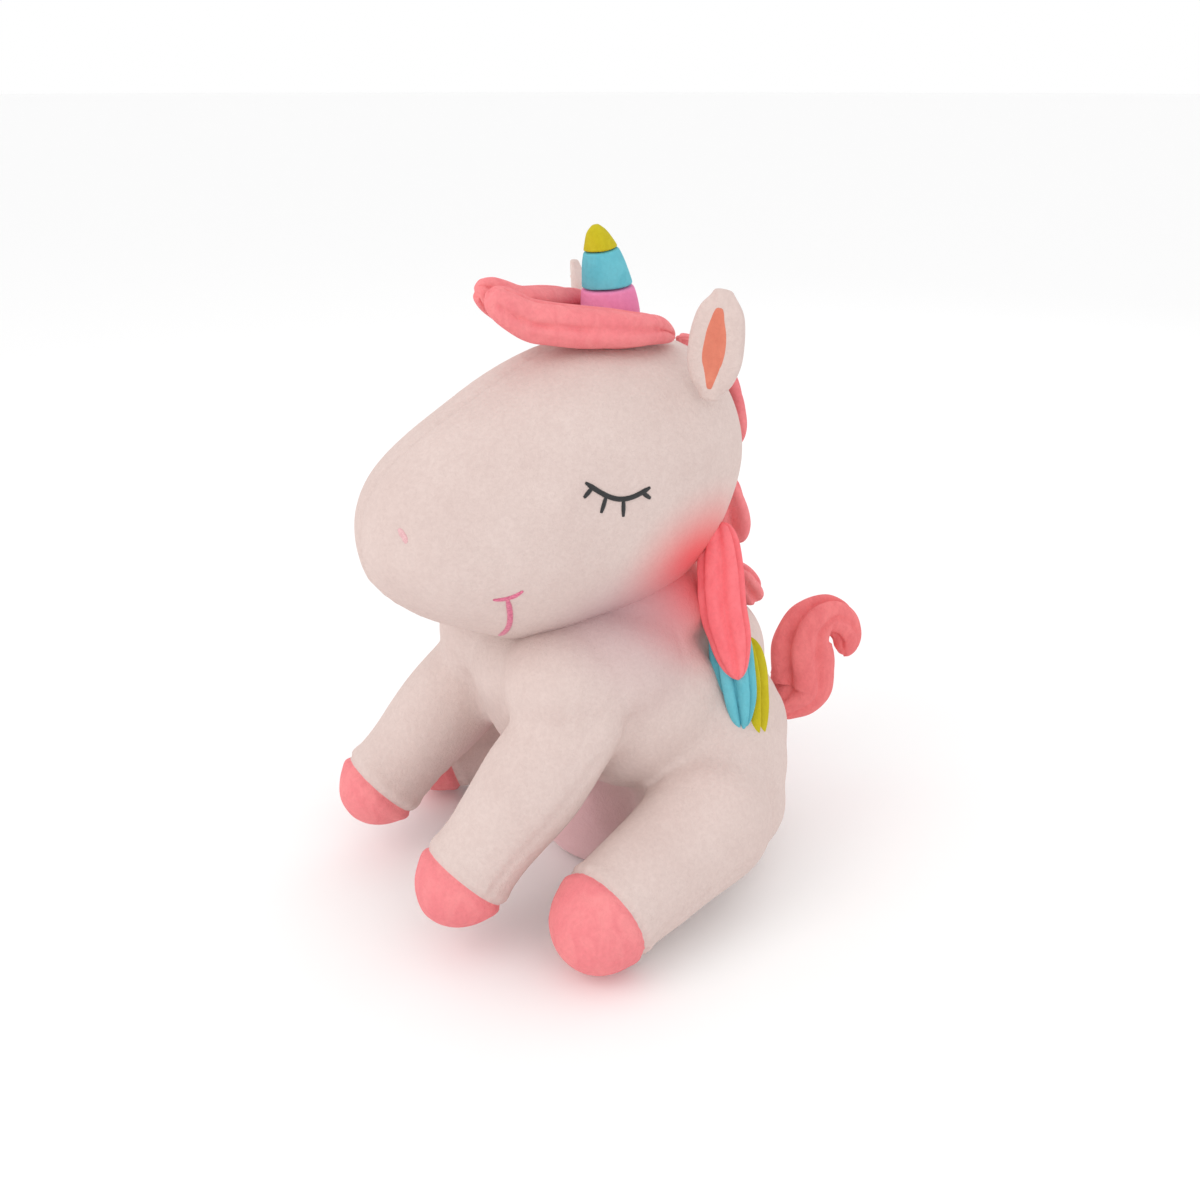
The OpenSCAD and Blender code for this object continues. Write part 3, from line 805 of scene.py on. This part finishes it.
def build_horn():
    """Three bands, each a stuffed ring that swells between its seams."""
    out = {}
    total = len(HORN_ROWS) - 1
    bands = (("pink_band", 0, 6 / 14), ("blue_band", 6 / 14, 10 / 14), ("yellow_tip", 10 / 14, 1))
    for tone, lo, hi in bands:
        rings, steps = [], 14
        for k in range(steps + 1):
            u = k / steps
            y, z, share = row_at(HORN_ROWS, (lo + (hi - lo) * u) * total)
            pinch = 0.018 * math.exp(-(u / 0.045) ** 2) if lo > 0 else 0
            bulge = 1.02 + 0.015 * math.sin(math.pi * u) - pinch
            if hi < 1:
                bulge -= 0.018 * math.exp(-((1 - u) / 0.045) ** 2)
            tilt = -0.22 * (lo + (hi - lo) * u)
            rings.append([Vector((16 * share * bulge * cosd(a), y + 16 * share * bulge * sind(a),
                                  z + tilt * 16 * share * sind(a) * -1))
                          for a in (i * 7.5 for i in range(48))])
        obj = loft(f"horn_{tone}_plush", rings)
        subdivide(obj)
        ripple(obj, 0.35, 9, 31 + int(10 * lo))
        out[tone] = obj
    return out


EAR_FOOT, EAR_LEN, EAR_HALF = Vector((63, 12, 306)), 60, 15.4
EAR_UP = Vector((.10, .05, 1)).normalized()
EAR_FACE = Vector((.64, -.77, 0)).normalized()
EAR_ACROSS = EAR_FACE.cross(EAR_UP).normalized()
EAR_WIDTHS = [[.34], [.75], [.97], [1], [.95], [.78], [.32]]


def ear_point(u, v, depth, side, share=1.0):
    width = EAR_HALF * share * row_at(EAR_WIDTHS, u * (len(EAR_WIDTHS) - 1))[0]
    p = EAR_FOOT + EAR_UP * (EAR_LEN * u) + EAR_ACROSS * (v * width) + EAR_FACE * depth
    lean = 0 if side > 0 else 11 * u
    return Vector((p.x * side - 0.5 * lean, p.y - lean, p.z))


def ear_front(u, v):
    """How far the front of the ear stands out: a round rim about a shallow hollow."""
    full = 0.35 + 0.65 * sind(180 * min(max(u, 0.02), .95))
    s = max(1 - v * v, 0) ** 0.5
    hollow = 2.4 * math.exp(-(v / 0.42) ** 2) * math.sin(math.pi * min(1, max(0, u * 1.1 + 0.02)))
    return -1.2 + 4.8 * s ** 0.7 * full - hollow


def build_ears():
    out = {}
    steps, n = 26, 40
    for label, side in SIDES:
        rings = []
        for k in range(steps + 1):
            u = k / steps
            full = 0.35 + 0.65 * sind(180 * min(max(u, 0.02), .95))
            ring = []
            for i in range(n):
                v, s = cosd(i * 360 / n), sind(i * 360 / n)
                depth = ear_front(u, v) if s >= 0 else -1.2 - 4.8 * abs(s) ** 0.8 * full
                ring.append(ear_point(u, v, depth, side))
            rings.append(ring)
        back = loft(f"ear_back_{label}_plush", rings)
        finish_soft(back, 41 + side, 0.0012, 0.3, 15)
        rings = []
        for k in range(steps + 1):
            u = .11 + .74 * k / steps
            w = 0.42 * math.sin(math.pi * (0.05 + 0.9 * k / steps)) ** 0.55
            ring = []
            for i in range(n):
                v, s = cosd(i * 360 / n) * w, sind(i * 360 / n)
                pad = 0.7 + (0.9 if s > 0 else 2.4) * s
                ring.append(ear_point(u, v, ear_front(u, v) + pad, side))
            rings.append(ring)
        lining = loft(f"ear_lining_{label}_plush", rings)
        subdivide(lining)
        out[label] = (back, lining)
    return out


# ---------- embroidery ----------

def on_head(tree, place):
    q, normal, _, _ = tree.find_nearest(place * MM)
    return q, normal


def cord_mesh(bm, tree, path, radius, flat=0.55, lift=0.35, sides=10, ends=0.45):
    """A rounded satin-stitch line laid on the head, tapering at both ends."""
    dense = []
    for k in range(len(path) * 4 - 3):
        x = k / 4
        i = min(int(x), len(path) - 2)
        dense.append(Vector(row_at([list(p) for p in path], x)))
    spots = [on_head(tree, p) for p in dense]
    loops = []
    for k, (p, normal) in enumerate(spots):
        q = spots[min(k + 1, len(spots) - 1)][0] - spots[max(k - 1, 0)][0]
        along = q.normalized()
        wide = normal.cross(along).normalized()
        e = min(k, len(spots) - 1 - k) / 4
        r = radius * MM * (ends + (1 - ends) * min(1, e))
        mid = p + normal * lift * MM * 0.5
        loops.append([bm.verts.new(mid + wide * cosd(a) * r + normal * sind(a) * r * flat)
                      for a in (i * 360 / sides for i in range(sides))])
    for a, b in zip(loops, loops[1:]):
        for i in range(sides):
            bm.faces.new((a[i], a[(i + 1) % sides], b[(i + 1) % sides], b[i]))
    for loop in (loops[0], loops[-1]):
        mid = bm.verts.new(sum((v.co for v in loop), Vector()) / sides)
        for i in range(sides):
            bm.faces.new((loop[i], loop[(i + 1) % sides], mid))


def lid(s):
    return 6.78 - 1.08 * s, 17.9 - 12.4 * s - 6.6 * sind(180 * s)


def build_stitching(head):
    tree = BVHTree.FromObject(head, bpy.context.evaluated_depsgraph_get())
    out = {}
    for label, side in SIDES:
        flip = Vector((side, 1, 1))
        bm = bmesh.new()
        cord_mesh(bm, tree, [head_point(*lid(k / 12)) * flip for k in range(13)], 1.5)
        for s, dt, da in ((.10, .16, -2.6), (.30, .11, -6.2), (.56, .01, -6.8), (.86, -.15, -3.6)):
            t, a = lid(s)
            path = [head_point(t + dt * k / 3, a + da * k / 3) * flip for k in range(4)]
            cord_mesh(bm, tree, path, 1.3, ends=0.62)
        bmesh.ops.recalc_face_normals(bm, faces=bm.faces)
        out["eye", label] = subdivide(new_object(f"eye_stitching_{label}_thread", bm))
        bm = bmesh.new()
        cord_mesh(bm, tree, [head_point(8.14 - .16 * sind(30 * k) - .009 * k * k, -26 - 6.8 * k) * flip
                             for k in range(7)], 1.7)
        cord_mesh(bm, tree, [head_point(8.13 - .13 * k, -26.5 + 1.4 * k + .5 * k * k) * flip
                             for k in range(-2, 3)], 1.55)
        bmesh.ops.recalc_face_normals(bm, faces=bm.faces)
        out["mouth", label] = subdivide(new_object(f"mouth_stitching_{label}_thread", bm))
        bm = bmesh.new()
        cord_mesh(bm, tree, [head_point(10.39 + .033 * k, 16.5 + 3.3 * k) * flip for k in range(5)], 1.9,
                  flat=0.3, lift=0.1, ends=0.5)
        bmesh.ops.recalc_face_normals(bm, faces=bm.faces)
        out["nostril", label] = subdivide(new_object(f"nostril_{label}_thread", bm))
    return out


# ---------- assembly ----------

def give(obj, material, slot, body, *nodes, fill=None):
    obj.data.materials.clear()
    obj.data.materials.append(material)
    if nodes:
        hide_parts(*nodes)
    if body:
        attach(obj, body)
    return obj


make_camera()
make_stage()
scene.view_settings.view_transform = "Standard"

# Soft patches of painted light and shade in the colour: centre (metres), full inside, gone beyond, colour,
# share
# Painted reflection: coral light bounced from the wing into the shaded neck under the jaw
painted_coral_bounce = ((0.064, 0.010, 0.203), 0.004, 0.064, (238, 78, 84), 1.0)
jaw_shade = ((0.038, -0.030, 0.174), 0.012, 0.070, (190, 152, 158), 0.7)
# Painted shade on the belly: a pinker tone where the underside lies in shade
belly_shade = ((0.0, -0.050, 0.040), 0.030, 0.078, (252, 206, 212), 0.7)
cream = plush("cream_plush", (221, 202, 196), (208, 186, 180), 0.12, (255, 236, 228),
              painted_light_patches=(painted_coral_bounce, jaw_shade, belly_shade), patch=0.2)
coral = plush("coral_plush", (246, 148, 150), (232, 122, 130), 0.12, (255, 190, 190), 1.3)
coral_hair = plush("coral_hair_plush", (248, 148, 150), (232, 118, 126), 0.12, (255, 190, 190), 1.5)
coral_tail = plush("coral_tail_plush", (248, 136, 136), (228, 110, 114), 0.12, (255, 180, 180), 1.5)
wing_coral = plush("wing_coral_plush", (254, 132, 138), (242, 106, 114), 0.1, (255, 160, 160), 0.8)
peach = plush("peach_plush", (226, 138, 114), (210, 116, 96), 0.1, (255, 200, 180), 0.9)
pink = plush("pink_plush", (236, 146, 186), (224, 124, 168), 0.1, (255, 200, 225), 0.9)
blue = plush("blue_plush", (112, 194, 208), (88, 176, 192), 0.1, (200, 240, 250), 0.8)
yellow = plush("yellow_plush", (202, 188, 42), (186, 170, 28), 0.08, (250, 250, 160), 0.8)
black = thread("black_thread", (20, 20, 24), (6, 6, 8))
rose = thread("rose_thread", (226, 120, 150), (196, 88, 122))
pale = thread("pale_thread", (226, 180, 182), (214, 164, 168))

head = build_head()
stitching = build_stitching(head)
give(head, cream, "cream_plush", "head", "head_panel_left", "head_panel_right", "head_stuffing", fill=0.9)

skin = build_skin()
skin_seams(skin)
parts = split_skin(skin)
give(parts["torso"], cream, "cream_plush", "torso", "back_panel_left", "back_panel_right", "belly_panel",
     "seat_panel", "torso_stuffing", fill=0.85)
collar = give(parts["collar"], cream, "cream_plush", None, "neck_stuffing", fill=0.8)
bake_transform(collar)
for label, side in SIDES:
    for kind in LEGS:
        body = f"{kind}_leg_{label}"
        top, foot, along = leg_axis(kind, side)
        leg = give(parts[kind, label, "leg"], cream, "cream_plush", None, f"{kind}_leg_outer_{label}",
                   f"{kind}_leg_inner_{label}", f"{kind}_leg_stuffing_{label}", fill=0.85)
        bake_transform(leg)
        give(parts[kind, label, "hoof"], coral, "coral_plush", body, f"{kind}_hoof_{label}", fill=0.9)
    for what, mat, slot in (("eye", black, "black_thread"), ("mouth", rose, "rose_thread"),
                            ("nostril", pale, "rose_thread")):
        node = f"nostril_{label}" if what == "nostril" else f"{what}_stitching_{label}"
        give(stitching[what, label], mat, slot, "head", node)
    rise = 0 if side > 0 else 5
    rows = [[x, y, z + rise * math.sin(math.pi * k / (len(FORELOCK) - 1)), w, h]
            for k, (x, y, z, w, h) in enumerate(FORELOCK)]
    forelock = loft(f"forelock_{label}_plush", lock_rings(rows, strands=4, cut=0.3, twist=60, side=side,
                                                        shrink=1.0, phase=20))
    give(finish_soft(forelock, 11 + side), coral_hair, "coral_plush", "forelock", f"forelock_{label}",
         fill=0.7)

for (tone, label), obj in build_feathers().items():
    mat = {"coral": wing_coral, "blue": blue, "yellow": yellow}[tone]
    give(obj, mat, f"{tone}_plush", f"wing_{label}", f"wing_{tone}_feather_{label}", fill=0.6)
for label, (back, lining) in build_ears().items():
    give(back, cream, "cream_plush", f"ear_{label}", f"ear_back_{label}", fill=0.5)
    give(lining, peach, "peach_plush", f"ear_{label}", f"ear_lining_{label}", fill=0.3)
for tone, obj in build_horn().items():
    mat, slot = {"pink_band": (pink, "pink_plush"), "blue_band": (blue, "blue_plush"),
                 "yellow_tip": (yellow, "yellow_plush")}[tone]
    nodes = [f"horn_{tone}"] + (["horn_stuffing"] if tone == "pink_band" else [])
    give(obj, mat, slot, "horn", *nodes, fill=0.9)
for k, (part, rows) in enumerate(MANE.items()):
    obj = loft(f"mane_{part}_plush", lock_rings(rows, strands=6, cut=0.3, twist=25, shrink=0.8))
    give(finish_soft(obj, 50 + k), coral_hair, "coral_plush", "torso" if part == "lower" else "head",
         f"mane_lock_{part}", fill=0.6)
tail = loft("tail_plush", lock_rings(TAIL, strands=5, cut=0.28, twist=70, shrink=1.0))
give(finish_soft(tail, 60, amount=0.8), coral_tail, "coral_plush", "tail", "tail_lock", fill=0.7)
